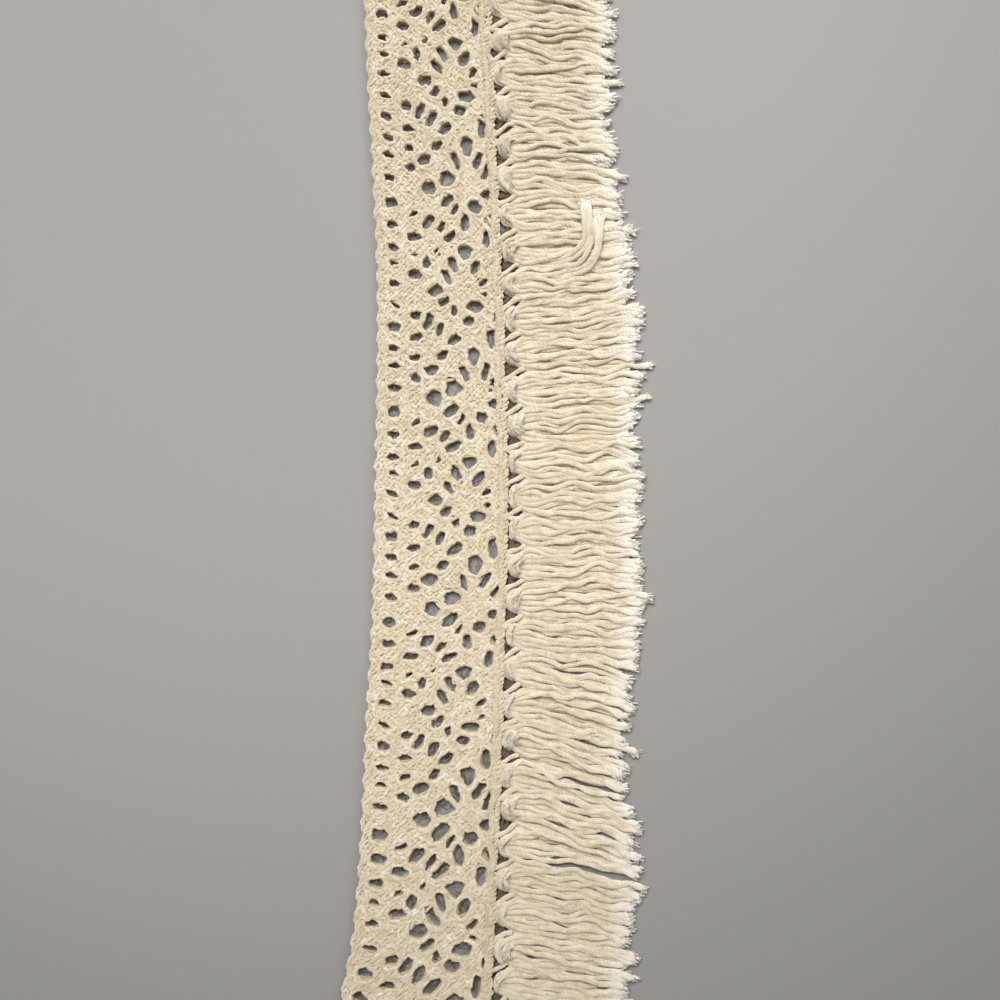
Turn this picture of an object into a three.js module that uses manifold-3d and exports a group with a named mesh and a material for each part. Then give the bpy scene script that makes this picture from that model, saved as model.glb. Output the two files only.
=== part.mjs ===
// A cut length of ecru cotton bobbin lace edging with a knotted fringe, lying flat.
// X runs across the strip from its looped edge to the fringe, Y along it, and Z is up.
// The origin is under the plait that joins lace and fringe, half way along. Millimetres.
import * as THREE from "three";
import { mergeVertices } from "three/addons/utils/BufferGeometryUtils.js";
import Module from "manifold-3d";

const wasm = await Module();
wasm.setup();

// Driving sizes of the strip and its pattern.
const LENGTH = 290;
const LACE_WIDTH = 35.5;
const LACE_THICK = 2;
const REPEAT = 55.8;
const FAN_PLACE = 0.4;
const END_MARGIN = 1.4;

// The strip is drawn out a little towards its lower end.
const DRAWN_FROM = -85;
const DRAWN_OUT = 1.12;

// The looped edge: one small loop beside each ladder hole.
const LOOPS_PER_REPEAT = 10;
const LOOP_DEPTH = 0.7;
const LOOP_POINTS = 3;
const FOOT_STEP = 10;

// The fringe: a narrow heading, one knot for each tuft, and two layers of yarn.
const GAP = 0.3;
const KNOTS_PER_REPEAT = 6;
const KNOT_PLACE = 1.4;
const KNOT_REACH = 3;
const HEADING_WIDTH = 5.9;
const HEADING_THICK = 1.4;
const NOTCH = { deep: 2.4, vary: 1.1, flat: 3.2 };
const KNOT = { across: 5.4, along: 7.2, low: 0.4, high: 3.4, topShare: 0.68 };
const YARN_HIGH = 1.2;
const LAYERS = [
  { count: 3, shift: 0.5, wide: 2.05, level: 0, root: 5.2, rootStep: 2.4, steps: 3 },
  { count: 4, shift: 0, wide: 1.5, level: 1.55, root: 4.4, rootStep: 1.6, steps: 4 },
];
const WAVE = { high: 0.75, long: 15, drift: 0.03, fullAt: 0.5 };
const LENGTH_SPREAD = 2.2;
const FANNED_AT = 0.33;
const LEAN_CURVE = 1.4;

// How the strip lies: its looped edge, its foot, the fringe's tips and the fringe's lean,
// at equal stations from the upper end to the lower one.
const LAY = [
  { edge: -36.3, foot: -4.0, tips: 29.6, lean: -1.5 },
  { edge: -35.5, foot: -2.1, tips: 30.4, lean: -1.5 },
  { edge: -33.9, foot: -0.7, tips: 31.3, lean: -1.5 },
  { edge: -32.7, foot: 0.7, tips: 35.2, lean: 3.0 },
  { edge: -32.8, foot: 1.5, tips: 36.4, lean: 1.0 },
  { edge: -33.4, foot: 2.1, tips: 36.6, lean: 0.0 },
  { edge: -34.0, foot: 1.6, tips: 37.6, lean: -2.0 },
  { edge: -35.7, foot: 0.5, tips: 33.6, lean: -7.5 },
  { edge: -37.0, foot: -1.4, tips: 35.2, lean: -7.0 },
  { edge: -39.4, foot: -2.7, tips: 37.1, lean: -4.5 },
  { edge: -44.7, foot: -3.5, tips: 34.2, lean: -4.0 },
];

// The gaps of one repeat. Each row gives the gap's place across from the looped edge and
// along from the fan's centre, its length and width, the turn of its length, and how
// much narrower its far end is.
const LADDER = [
  [4.8, 22.7, 3.8, 2.7, -8, 0],
  [4.8, 17.0, 3.8, 2.1, -10, 0],
  [4.8, 11.1, 3.7, 1.8, -10, 0],
  [4.8, 6.6, 3.7, 1.1, -16, 0],
  [4.8, 1.3, 3.7, 1.5, -12, 0],
  [4.8, -4.6, 3.7, 1.1, -18, 0],
  [4.8, -10.1, 3.8, 2.3, -12, 0],
  [4.8, -15.9, 3.7, 1.6, -16, 0],
  [4.8, -20.5, 3.7, 1.3, -14, 0],
  [4.8, -26.2, 3.8, 2.0, -14, 0],
];
const SECOND_ROW = [
  [10.8, 19.8, 3.5, 1.2, 20, 0],
  [10.8, 13.8, 4.0, 2.0, 0, 0],
  [10.8, 3.6, 4.0, 2.4, -10, 0],
  [10.8, -7.2, 2.9, 2.1, 0, 0],
  [10.8, -13.2, 3.7, 1.9, 0, 0],
  [10.8, -18.2, 2.9, 1.6, 15, 0],
  [10.8, -23.8, 3.0, 2.0, -20, 0],
];
const BESIDE_TRAIL = [
  [15.0, 17.7, 4.5, 2.5, 38, 0],
  [18.6, 16.2, 4.0, 1.8, 48, 0],
  [21.0, 13.8, 5.3, 2.3, 35, 0],
  [14.3, 6.5, 3.2, 2.4, 90, 0],
  [14.3, -8.7, 4.8, 2.5, 65, 0],
  [17.7, -10.9, 4.5, 2.2, 68, 0],
  [21.4, -13.5, 4.8, 2.5, 42, 0],
  [18.4, -17.8, 3.5, 2.2, 35, 0],
  [15.0, -21.5, 4.5, 3.1, 10, 0],
];
const FAN = [
  [25.2, 9.0, 4.0, 3.7, -90, 0.7],
  [21.8, 6.1, 5.1, 2.2, -62, 0.2],
  [19.7, 3.0, 5.2, 1.9, -58, 0],
  [16.1, -0.7, 4.4, 3.1, 10, -0.4],
  [18.8, -3.5, 3.7, 2.3, 42, 0],
  [21.6, -6.2, 2.6, 1.8, 90, 0],
  [27.5, -4.9, 4.5, 3.0, 0, 0],
  [25.6, -8.7, 3.3, 3.0, 0, 0],
  [27.7, 5.3, 4.5, 2.5, 60, 0],
  [29.9, 1.4, 3.2, 1.5, 42, 0],
];
const SPIDER = [
  [15.8, -1.4, 4.4, 4.0, 0, -0.3],
  [20.9, 1.8, 4.8, 4.2, 110, 0.7],
  [24.1, 5.4, 5.7, 2.0, -68, 0],
  [27.0, 9.4, 5.9, 3.3, -90, 0.6],
  [30.0, 6.0, 5.6, 2.1, 67, 0],
  [32.3, 3.0, 6.2, 1.6, 68, 0],
  [31.8, -3.0, 2.9, 2.6, 0, -0.5],
  [28.6, -6.2, 3.6, 3.2, 0, 0],
  [20.7, -4.5, 5.1, 2.7, 38, 0],
  [23.1, -6.9, 3.6, 1.5, 65, 0],
  [25.5, -10.2, 4.7, 2.3, 95, 0.3],
  [32.6, -10.6, 3.2, 1.7, -65, 0],
];
const ALONG_FOOT = [
  [31.4, 13.6, 5.8, 2.4, 88, 0.2],
  [31.6, -12.8, 6.5, 2.2, 92, 0.3],
  [33.5, -8.0, 3.5, 1.1, -72, 0],
];

const rad = THREE.MathUtils.degToRad;
const clamp = THREE.MathUtils.clamp;
const lerp = THREE.MathUtils.lerp;

// A repeatable spread from -1 to 1 for piece number k.
function spread(k, salt) {
  const value = Math.sin(k * 12.9898 + salt * 78.233) * 43758.5453;
  return 2 * (value - Math.floor(value)) - 1;
}

// One column of LAY at any place along the strip, on a smooth line through the stations.
function lay(column, y) {
  const last = LAY.length - 1;
  const place = clamp((0.5 - y / LENGTH) * last, 0, last);
  const k = Math.min(Math.floor(place), last - 1);
  const at = (i) => LAY[clamp(i, 0, last)][column];
  const [a, b, c, d] = [at(k - 1), at(k), at(k + 1), at(k + 2)];
  const f = place - k;
  const bend = 2 * a - 5 * b + 4 * c - d + f * (3 * (b - c) + d - a);
  return b + 0.5 * f * (c - a + f * bend);
}

function drawnOut(along) {
  return along > DRAWN_FROM ? along : DRAWN_FROM + (along - DRAWN_FROM) * DRAWN_OUT;
}

// A place in the pattern, across from the looped edge and along the strip, as it lies.
function onStrip(across, along) {
  const y = drawnOut(along);
  const edge = lay("edge", y);
  const share = across / LACE_WIDTH;
  return new THREE.Vector2(edge + share * (lay("foot", y) - edge), y);
}

// A six-sided gap: pointed at its two ends, and narrower at the far one where it tapers.
// Its corners are shares of its half length and half width.
const GAP_CORNERS = [[1, 0], [0.55, 1], [-0.55, 1], [-1, 0], [-0.55, -1], [0.55, -1]];

function gapOutline([across, along, long, wide, turn, taper], centre) {
  const [cos, sin] = [Math.cos(rad(turn)), Math.sin(rad(turn))];
  return GAP_CORNERS.map(([u, v]) => {
    const x = (u * long) / 2;
    const y = (v * wide * (1 - taper * u)) / 2;
    return onStrip(across + x * cos - y * sin, centre + along + x * sin + y * cos);
  });
}

function solidOf(geometry) {
  geometry.deleteAttribute("normal");
  geometry.deleteAttribute("uv");
  const merged = mergeVertices(geometry, 1e-4);
  return new wasm.Manifold(
    new wasm.Mesh({
      numProp: 3,
      vertProperties: merged.attributes.position.array,
      triVerts: Uint32Array.from(merged.index.array),
    })
  );
}

function geometryOf(solid) {
  const mesh = solid.getMesh();
  const geometry = new THREE.BufferGeometry();
  geometry.setAttribute("position", new THREE.BufferAttribute(mesh.vertProperties, 3));
  geometry.setIndex(new THREE.BufferAttribute(mesh.triVerts, 1));
  geometry.computeVertexNormals();
  return geometry;
}

// Every gap of every repeat that lies whole inside the cut length.
function gaps() {
  const outlines = [];
  const reach = Math.ceil(LENGTH / REPEAT / 2) + 1;
  const limit = LENGTH / 2 - END_MARGIN;
  const rows = [
    ...[LADDER, SECOND_ROW, BESIDE_TRAIL, FAN, ALONG_FOOT].flat().map((row) => ({ row, shift: 0 })),
    ...SPIDER.map((row) => ({ row, shift: REPEAT / 2 })),
  ];
  for (let k = -reach; k <= reach; k += 1) {
    for (const { row, shift } of rows) {
      const outline = gapOutline(row, FAN_PLACE + k * REPEAT + shift);
      if (outline.every((point) => Math.abs(point.y) < limit)) outlines.push(outline);
    }
  }
  return outlines;
}

function laceBand() {
  const outline = [];
  const half = LENGTH / 2;
  const pitch = REPEAT / LOOPS_PER_REPEAT;
  for (let y = -half; y < half; y += FOOT_STEP) outline.push(new THREE.Vector2(lay("foot", y), y));
  outline.push(new THREE.Vector2(lay("foot", half), half));
  for (let along = half; drawnOut(along) > -half; along -= pitch / LOOP_POINTS) {
    const loop = Math.sin((Math.PI * (along - FAN_PLACE - LADDER[0][1])) / pitch);
    outline.push(onStrip(-LOOP_DEPTH * loop * loop, along));
  }
  outline.push(new THREE.Vector2(lay("edge", -half), -half));
  const shape = new THREE.Shape(outline);
  shape.holes = gaps().map((points) => new THREE.Path(points));
  return solidOf(new THREE.ExtrudeGeometry(shape, { depth: LACE_THICK, bevelEnabled: false }));
}

function knotPlaces() {
  const pitch = REPEAT / KNOTS_PER_REPEAT;
  const places = [];
  const reach = Math.floor((LENGTH / 2 - KNOT_REACH) / pitch);
  for (let k = -reach; k <= reach; k += 1) places.push(KNOT_PLACE + k * pitch);
  return places;
}

// The narrow strip that carries the yarns, notched beside the lace between its knots.
function heading() {
  const half = LENGTH / 2;
  const pitch = REPEAT / KNOTS_PER_REPEAT;
  const start = (y) => lay("foot", y) + GAP;
  const outline = [new THREE.Vector2(start(-half), -half)];
  for (let y = -half; y < half; y += FOOT_STEP) {
    outline.push(new THREE.Vector2(start(y) + HEADING_WIDTH, y));
  }
  outline.push(new THREE.Vector2(start(half) + HEADING_WIDTH, half));
  outline.push(new THREE.Vector2(start(half), half));
  knotPlaces().reverse().forEach((y, k) => {
    const deep = NOTCH.deep + NOTCH.vary * spread(k, 3);
    for (const edge of [y + NOTCH.flat / 2, y - NOTCH.flat / 2]) {
      outline.push(new THREE.Vector2(start(edge), edge));
    }
    const between = y - pitch / 2;
    if (between > -half + END_MARGIN) outline.push(new THREE.Vector2(start(between) + deep, between));
  });
  const shape = new THREE.Shape(outline);
  return new THREE.ExtrudeGeometry(shape, { depth: HEADING_THICK, bevelEnabled: false });
}

// A knot: in plan round towards the lace and flat where its yarns leave it, narrowing upwards.
// Its corners are shares of its two widths.
const KNOT_PLAN = [[0.5, 0.42], [0, 0.5], [-0.42, 0.26], [-0.42, -0.26], [0, -0.5], [0.5, -0.42]];

function knot(y) {
  const { across, along, low, high, topShare } = KNOT;
  const shape = new THREE.Shape(KNOT_PLAN.map(([u, v]) => new THREE.Vector2(u * across, v * along)));
  const geometry = new THREE.ExtrudeGeometry(shape, { depth: high - low, bevelEnabled: false });
  const points = geometry.attributes.position;
  for (let i = 0; i < points.count; i += 1) {
    const share = points.getZ(i) > 0 ? topShare : 1;
    points.setXY(i, points.getX(i) * share, points.getY(i) * share);
  }
  geometry.translate(lay("foot", y) + GAP + across / 2, y, low);
  return geometry;
}

// One yarn from inside its knot to its cut end, on one level, three-sided with its flat side down.
function yarn(y, side, layer, number) {
  const root = lay("foot", y) + GAP + layer.root;
  const tip = lay("tips", y) + LENGTH_SPREAD * spread(number, 1);
  const tipStep = REPEAT / KNOTS_PER_REPEAT / layer.count;
  const points = [];
  for (let i = 0; i <= layer.steps; i += 1) {
    const f = i / layer.steps;
    const x = lerp(root, tip, f);
    const fan = side * lerp(layer.rootStep, tipStep, Math.min(1, f / FANNED_AT));
    const phase = (x / WAVE.long + y * WAVE.drift) * 2 * Math.PI;
    const wave = WAVE.high * Math.sin(phase) * Math.min(1, f / WAVE.fullAt);
    const lean = lay("lean", y) * Math.pow(f, LEAN_CURVE);
    points.push(new THREE.Vector3(x, y + fan + wave + lean, layer.level));
  }
  const half = layer.wide / 2;
  const corners = [[0, -half], [0, half], [-YARN_HIGH, 0]];
  const section = new THREE.Shape(corners.map((corner) => new THREE.Vector2(...corner)));
  return new THREE.ExtrudeGeometry(section, {
    steps: layer.steps,
    extrudePath: new THREE.CatmullRomCurve3(points),
    bevelEnabled: false,
  });
}

function fringe() {
  let solid = solidOf(heading());
  let number = 0;
  for (const y of knotPlaces()) {
    solid = solid.add(solidOf(knot(y)));
    for (const layer of LAYERS) {
      for (let i = 0; i < layer.count; i += 1) {
        number += 1;
        const side = i - (layer.count - 1) / 2 + layer.shift;
        solid = solid.add(solidOf(yarn(y, side, layer, number)));
      }
    }
  }
  return solid;
}

function piece(name, solid, colour) {
  const material = new THREE.MeshStandardMaterial({ color: colour, roughness: 0.95, metalness: 0 });
  const mesh = new THREE.Mesh(geometryOf(solid), material);
  mesh.name = name;
  return mesh;
}

const trim = new THREE.Group();
trim.add(piece("lace_band", laceBand(), 0xe6dabc));
trim.add(piece("fringe", fringe(), 0xece1c4));

export default trim;
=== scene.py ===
"""A flat length of ecru cotton bobbin lace edging with a knotted yarn fringe.

The strip lies along Y, with its looped edge to the left and its fringe to the right.
The pattern is worked out in millimetres and becomes metres where a piece is made.
"""

import math

import bmesh
import bpy
import numpy as np
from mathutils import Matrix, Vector


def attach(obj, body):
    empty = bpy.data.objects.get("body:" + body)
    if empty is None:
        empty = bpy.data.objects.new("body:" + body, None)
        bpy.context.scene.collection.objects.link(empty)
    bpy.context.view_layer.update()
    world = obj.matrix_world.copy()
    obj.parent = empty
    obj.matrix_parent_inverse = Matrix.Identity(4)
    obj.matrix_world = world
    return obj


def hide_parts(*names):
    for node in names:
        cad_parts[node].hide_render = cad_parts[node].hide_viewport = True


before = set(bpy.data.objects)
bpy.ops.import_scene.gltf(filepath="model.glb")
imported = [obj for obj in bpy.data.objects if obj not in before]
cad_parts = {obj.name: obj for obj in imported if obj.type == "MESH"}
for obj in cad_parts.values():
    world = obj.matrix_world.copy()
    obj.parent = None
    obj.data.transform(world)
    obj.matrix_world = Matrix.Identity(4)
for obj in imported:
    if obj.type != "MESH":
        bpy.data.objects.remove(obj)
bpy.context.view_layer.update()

MM = 0.001
SEED = 11

# The strip, in the sizes of the part's own source.
LENGTH = 290.0
LACE_WIDTH = 35.5
REPEAT = 55.8
FAN_PLACE = 0.4
END_MARGIN = 1.4
DRAWN_FROM = -85.0
DRAWN_OUT = 1.12
PULLED_OPEN = 0.12
LOOP_PITCH = REPEAT / 10
LOOP_DEPTH = 0.7
FOOT_REACH = 0.7
FOOT_DRAWN_BACK = 0.5
LOOPS_DRAWN_IN = 0.95
KNOTS_PER_REPEAT = 6
KNOT_PITCH = REPEAT / KNOTS_PER_REPEAT
KNOT_PLACE = 1.4
KNOT_REACH = 3.0
KNOT_VARIES = 0.5
WAVE_HIGH = 0.75
WAVE_LONG = 15.0
WAVE_DRIFT = 0.03
LENGTH_SPREAD = 0.88
TIP_BACK = 1.0
LEAN_CURVE = 1.4

# How the strip lies at equal stations from the upper end to the lower one.
LAY = {
    "edge": [-36.3, -35.5, -33.9, -32.7, -32.8, -33.4, -34.0, -35.7, -37.0, -39.4, -44.7],
    "foot": [-4.0, -2.1, -0.7, 0.7, 1.5, 2.1, 1.6, 0.6, -0.3, -1.4, -2.6],
    "tips": [29.0, 29.6, 31.3, 35.2, 37.2, 36.6, 37.2, 33.6, 36.2, 34.4, 33.2],
    "lean": [-1.5, -1.5, -1.5, 3.0, 1.0, 0.0, -2.0, -7.5, -7.0, -4.5, -4.0],
}

# The gaps of one repeat: across from the looped edge, along from the fan's centre,
# length, width, turn of the length in degrees, and how much the far end narrows.
LADDER = [(4.8, *gap, 0) for gap in [
    (22.7, 3.8, 2.7, -8),
    (17.0, 3.8, 2.1, -10),
    (11.1, 3.7, 1.8, -10),
    (6.6, 3.7, 1.1, -16),
    (1.3, 3.7, 1.5, -12),
    (-4.6, 3.7, 1.1, -18),
    (-10.1, 3.8, 2.3, -12),
    (-15.9, 3.7, 1.6, -16),
    (-20.5, 3.7, 1.3, -14),
    (-26.2, 3.8, 2.0, -14),
]]
SECOND_ROW = [(10.8, *gap, 0) for gap in [
    (19.8, 3.5, 1.2, 20),
    (13.8, 4.0, 2.0, 0),
    (8.9, 2.4, 0.7, 20),
    (3.6, 4.0, 2.4, -10),
    (-7.2, 2.9, 2.1, 0),
    (-13.2, 3.7, 1.9, 0),
    (-18.2, 2.9, 1.6, 15),
    (-23.8, 3.0, 2.0, -20),
]]
BESIDE_TRAIL = [
    (15.0, 17.7, 4.5, 2.5, 38, 0),
    (18.6, 16.2, 4.0, 1.8, 48, 0),
    (21.0, 13.8, 5.3, 2.3, 35, 0),
    (17.0, 10.1, 1.6, 1.0, 60, 0),
    (14.3, 6.5, 3.2, 2.4, 90, 0),
    (14.3, -8.7, 4.8, 2.5, 65, 0),
    (17.7, -10.9, 4.5, 2.2, 68, 0),
    (21.4, -13.5, 4.8, 2.5, 42, 0),
    (18.4, -17.8, 3.5, 2.2, 35, 0),
    (15.0, -21.5, 4.5, 3.1, 10, 0),
]
FAN = [
    (25.2, 9.0, 4.0, 3.7, -90, 0.7),
    (21.8, 6.1, 5.1, 2.2, -62, 0.2),
    (19.7, 3.0, 5.2, 1.9, -58, 0),
    (16.1, -0.7, 4.4, 3.1, 10, -0.4),
    (18.8, -3.5, 3.7, 2.3, 42, 0),
    (21.6, -6.2, 2.6, 1.8, 90, 0),
    (27.5, -4.9, 4.5, 3.0, 0, 0),
    (25.6, -8.7, 3.3, 3.0, 0, 0),
    (27.7, 5.3, 4.5, 2.5, 60, 0),
    (29.9, 1.4, 3.2, 1.5, 42, 0),
    (30.3, -1.9, 1.6, 1.2, 0, 0),
]
SPIDER = [
    (15.8, -1.4, 4.4, 4.0, 0, -0.3),
    (20.9, 1.8, 4.8, 4.2, 110, 0.7),
    (24.1, 5.4, 5.7, 2.0, -68, 0),
    (27.0, 9.4, 5.9, 3.3, -90, 0.6),
    (30.0, 6.0, 5.6, 2.1, 67, 0),
    (32.3, 3.0, 6.2, 1.6, 68, 0),
    (31.8, -3.0, 2.9, 2.6, 0, -0.5),
    (28.6, -6.2, 3.6, 3.2, 0, 0),
    (20.7, -4.5, 5.1, 2.7, 38, 0),
    (23.1, -6.9, 3.6, 1.5, 65, 0),
    (25.5, -10.2, 4.7, 2.3, 95, 0.3),
    (32.6, -10.6, 3.2, 1.7, -65, 0),
]
ALONG_FOOT = [
    (31.4, 13.6, 5.8, 2.4, 88, 0.2),
    (31.6, -12.8, 6.5, 2.2, 92, 0.3),
    (33.5, -8.0, 3.5, 1.1, -72, 0),
    (33.1, 18.1, 3.5, 1.0, -60, 0),
]

# The form of a gap: how square its corners are, how pointed its ends, how unlike it is
# to the same gap of another repeat, and how much longer and wider the threads keep it.
CORNERS = 6
POINTED = 0.45
ACROSS_STRAYS = 0.15
ALONG_STRAYS = 0.2
SIZE_STRAYS = 0.1
TURN_STRAYS = 8
STAND_OFF_LONG = 1.1
STAND_OFF_WIDE = 1.02

# The lace's threads: how many cross the strip in one repeat, and how they lie.
THREADS_PER_REPEAT = 36
COLUMNS = 46
BETWEEN_CROSSINGS = 2
THREAD = 0.43
THREAD_STEP = 0.58
WEAVE_HIGH = 0.28
WEAVE_LEVEL = 2.0
SWELL = 0.2
RIM_LEVELS = (0.5, 1.3)
RIM_BEYOND = (0.35, 0.75)
DRAW_ROUNDS = 200
TAUT_GROWING = 0.45
TAUT_AT_REST = 0.15
LONGEST_PUSH = 0.3
GROUND_STEP = 0.7
GROUND_MARGIN = 0.3
GROUND_LOW = 0.3
LACE_FIBRES = 4500
FOOT_FIBRES = 1200
SHADE_FIBRES = 11
PLAIT_BACK = 1.75
PLAIT_TURN = 2.7
PAIR_BACK = 0.7
PAIR_TURN = 2.5
CORD_TURN = 3.6

# The fringe's yarns: seven doubled yarns make one knot.
YARN = 0.7
YARN_STEP = 0.95
DOUBLED_YARNS = 7
ENDS = 2 * DOUBLED_YARNS
YARN_LEVELS = (1.25, 1.75)
UNDER_LEVEL = 0.85
SPREAD_AT = 0.1
FIBRES = 18
LOOSE_PLIES = 5
WHITEST = 0.9
CROSSING_SHARE = 0.12
UNDER_YARNS = 8
YARN_FIBRES = 7000
YARN_ROOT = 3.3
UNDER_ROOT = 3.6
KNOT_MIDDLE = 2.6
KNOT_CORD = (0.6, 0.55)
SECOND_TIE_ABOVE = 0.35
WRAPS = 4
SHADED_THREADS = 9

END_CAP = 0.1
CAMERA_HIGH = 0.371

# The solid that a piece stands for, with the slot of its material.
LACE = ("lace_band", "lace_cotton")
FRINGE = ("fringe", "fringe_cotton")

# The plies of a thread and of a yarn, and the length of one turn in millimetres.
THREAD_TWIST = (2, 1.9)
YARN_TWIST = (4, 4.6)


def spread(k, salt):
    """A repeatable spread from -1 to 1 for piece number k."""
    value = math.sin(k * 12.9898 + salt * 78.233) * 43758.5453
    return 2 * (value - math.floor(value)) - 1


def eased(f):
    """From 0 to 1 with a soft start and a soft end."""
    f = np.clip(f, 0, 1)
    return f * f * (3 - 2 * f)


def lower_part(y, start=20):
    """How far a place lies down the looser, lower part of the strip, from 0 to 1."""
    return eased((-y - start) / 60)


def curve_between(a, b, c, d, f):
    """The smooth curve from b to c that also heeds the places before and after them."""
    bend = 2 * a - 5 * b + 4 * c - d + f * (3 * (b - c) + d - a)
    return b + 0.5 * f * (c - a + f * bend)


def lay(column, y):
    """One column of LAY at any place along the strip, on a smooth line through the stations."""
    values = np.array(LAY[column])
    last = len(values) - 1
    place = np.clip((0.5 - np.asarray(y, float) / LENGTH) * last, 0, last)
    k = np.minimum(np.floor(place).astype(int), last - 1)
    near = (values[np.clip(k + i, 0, last)] for i in (-1, 0, 1, 2))
    return curve_between(*near, place - k)


def drawn_out(along):
    """The place along the table of a place along the pattern, whose lower end is drawn out."""
    return np.where(along > DRAWN_FROM, along, DRAWN_FROM + (along - DRAWN_FROM) * DRAWN_OUT)


def on_strip(across, along):
    """A place in the pattern, as the strip lies on the table."""
    y = drawn_out(along)
    edge = lay("edge", y)
    x = edge + across / LACE_WIDTH * (lay("foot", y) - edge)
    return x, y


def loop_edge(along):
    """How far the small loops of the outer edge stand out beside the ladder's gaps."""
    return LOOP_DEPTH * np.sin(np.pi * (along - FAN_PLACE - LADDER[0][1]) / LOOP_PITCH) ** 2


def foot_edge(along):
    """How far the lace reaches out to each knot, and draws back between two knots."""
    swing = np.cos(np.pi * (drawn_out(along) - KNOT_PLACE) / KNOT_PITCH)
    return FOOT_REACH * swing**2 - FOOT_DRAWN_BACK


def worked_edges(across, along):
    """A place across the strip, moved with the small loops of one edge or the foot's own line."""
    near_loops = np.clip(1 - across / 3.5, 0, 1)
    near_foot = np.clip(1 - (LACE_WIDTH - across) / 2.2, 0, 1)
    return across + (LOOPS_DRAWN_IN - loop_edge(along)) * near_loops + foot_edge(along) * near_foot


def swell(x, y):
    """How the worked cloth rises and sinks a little, which the light catches."""
    return SWELL * np.sin(2.1 * x + 1.3 * np.sin(0.9 * y)) * np.sin(1.8 * y + 1.1 * np.sin(0.8 * x))


def gap_list(rng):
    """Every gap of the cut length that lies whole inside it, each a little unlike the next."""
    rows = []
    reach = math.ceil(LENGTH / REPEAT / 2) + 1
    for k in range(-reach, reach + 1):
        for table, shift in [
            (LADDER + SECOND_ROW + BESIDE_TRAIL + FAN + ALONG_FOOT, 0),
            (SPIDER, REPEAT / 2),
        ]:
            for across, along, long, wide, turn, taper in table:
                centre = FAN_PLACE + k * REPEAT + shift + along
                across_now = across + rng.uniform(-ACROSS_STRAYS, ACROSS_STRAYS)
                centre_now = centre + rng.uniform(-ALONG_STRAYS, ALONG_STRAYS)
                size = 1 + rng.uniform(-SIZE_STRAYS, SIZE_STRAYS)
                size += PULLED_OPEN * lower_part(centre, 30)
                turn_now = math.radians(turn + rng.uniform(-TURN_STRAYS, TURN_STRAYS))
                reach_along = 0.5 * max(long * abs(math.sin(turn_now)), wide)
                if abs(float(drawn_out(np.array(centre)))) + reach_along > LENGTH / 2 - END_MARGIN:
                    continue
                half = size / 2
                rows.append((across_now, centre_now, long * half, wide * half, turn_now, taper))
    return np.array(rows)


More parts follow.
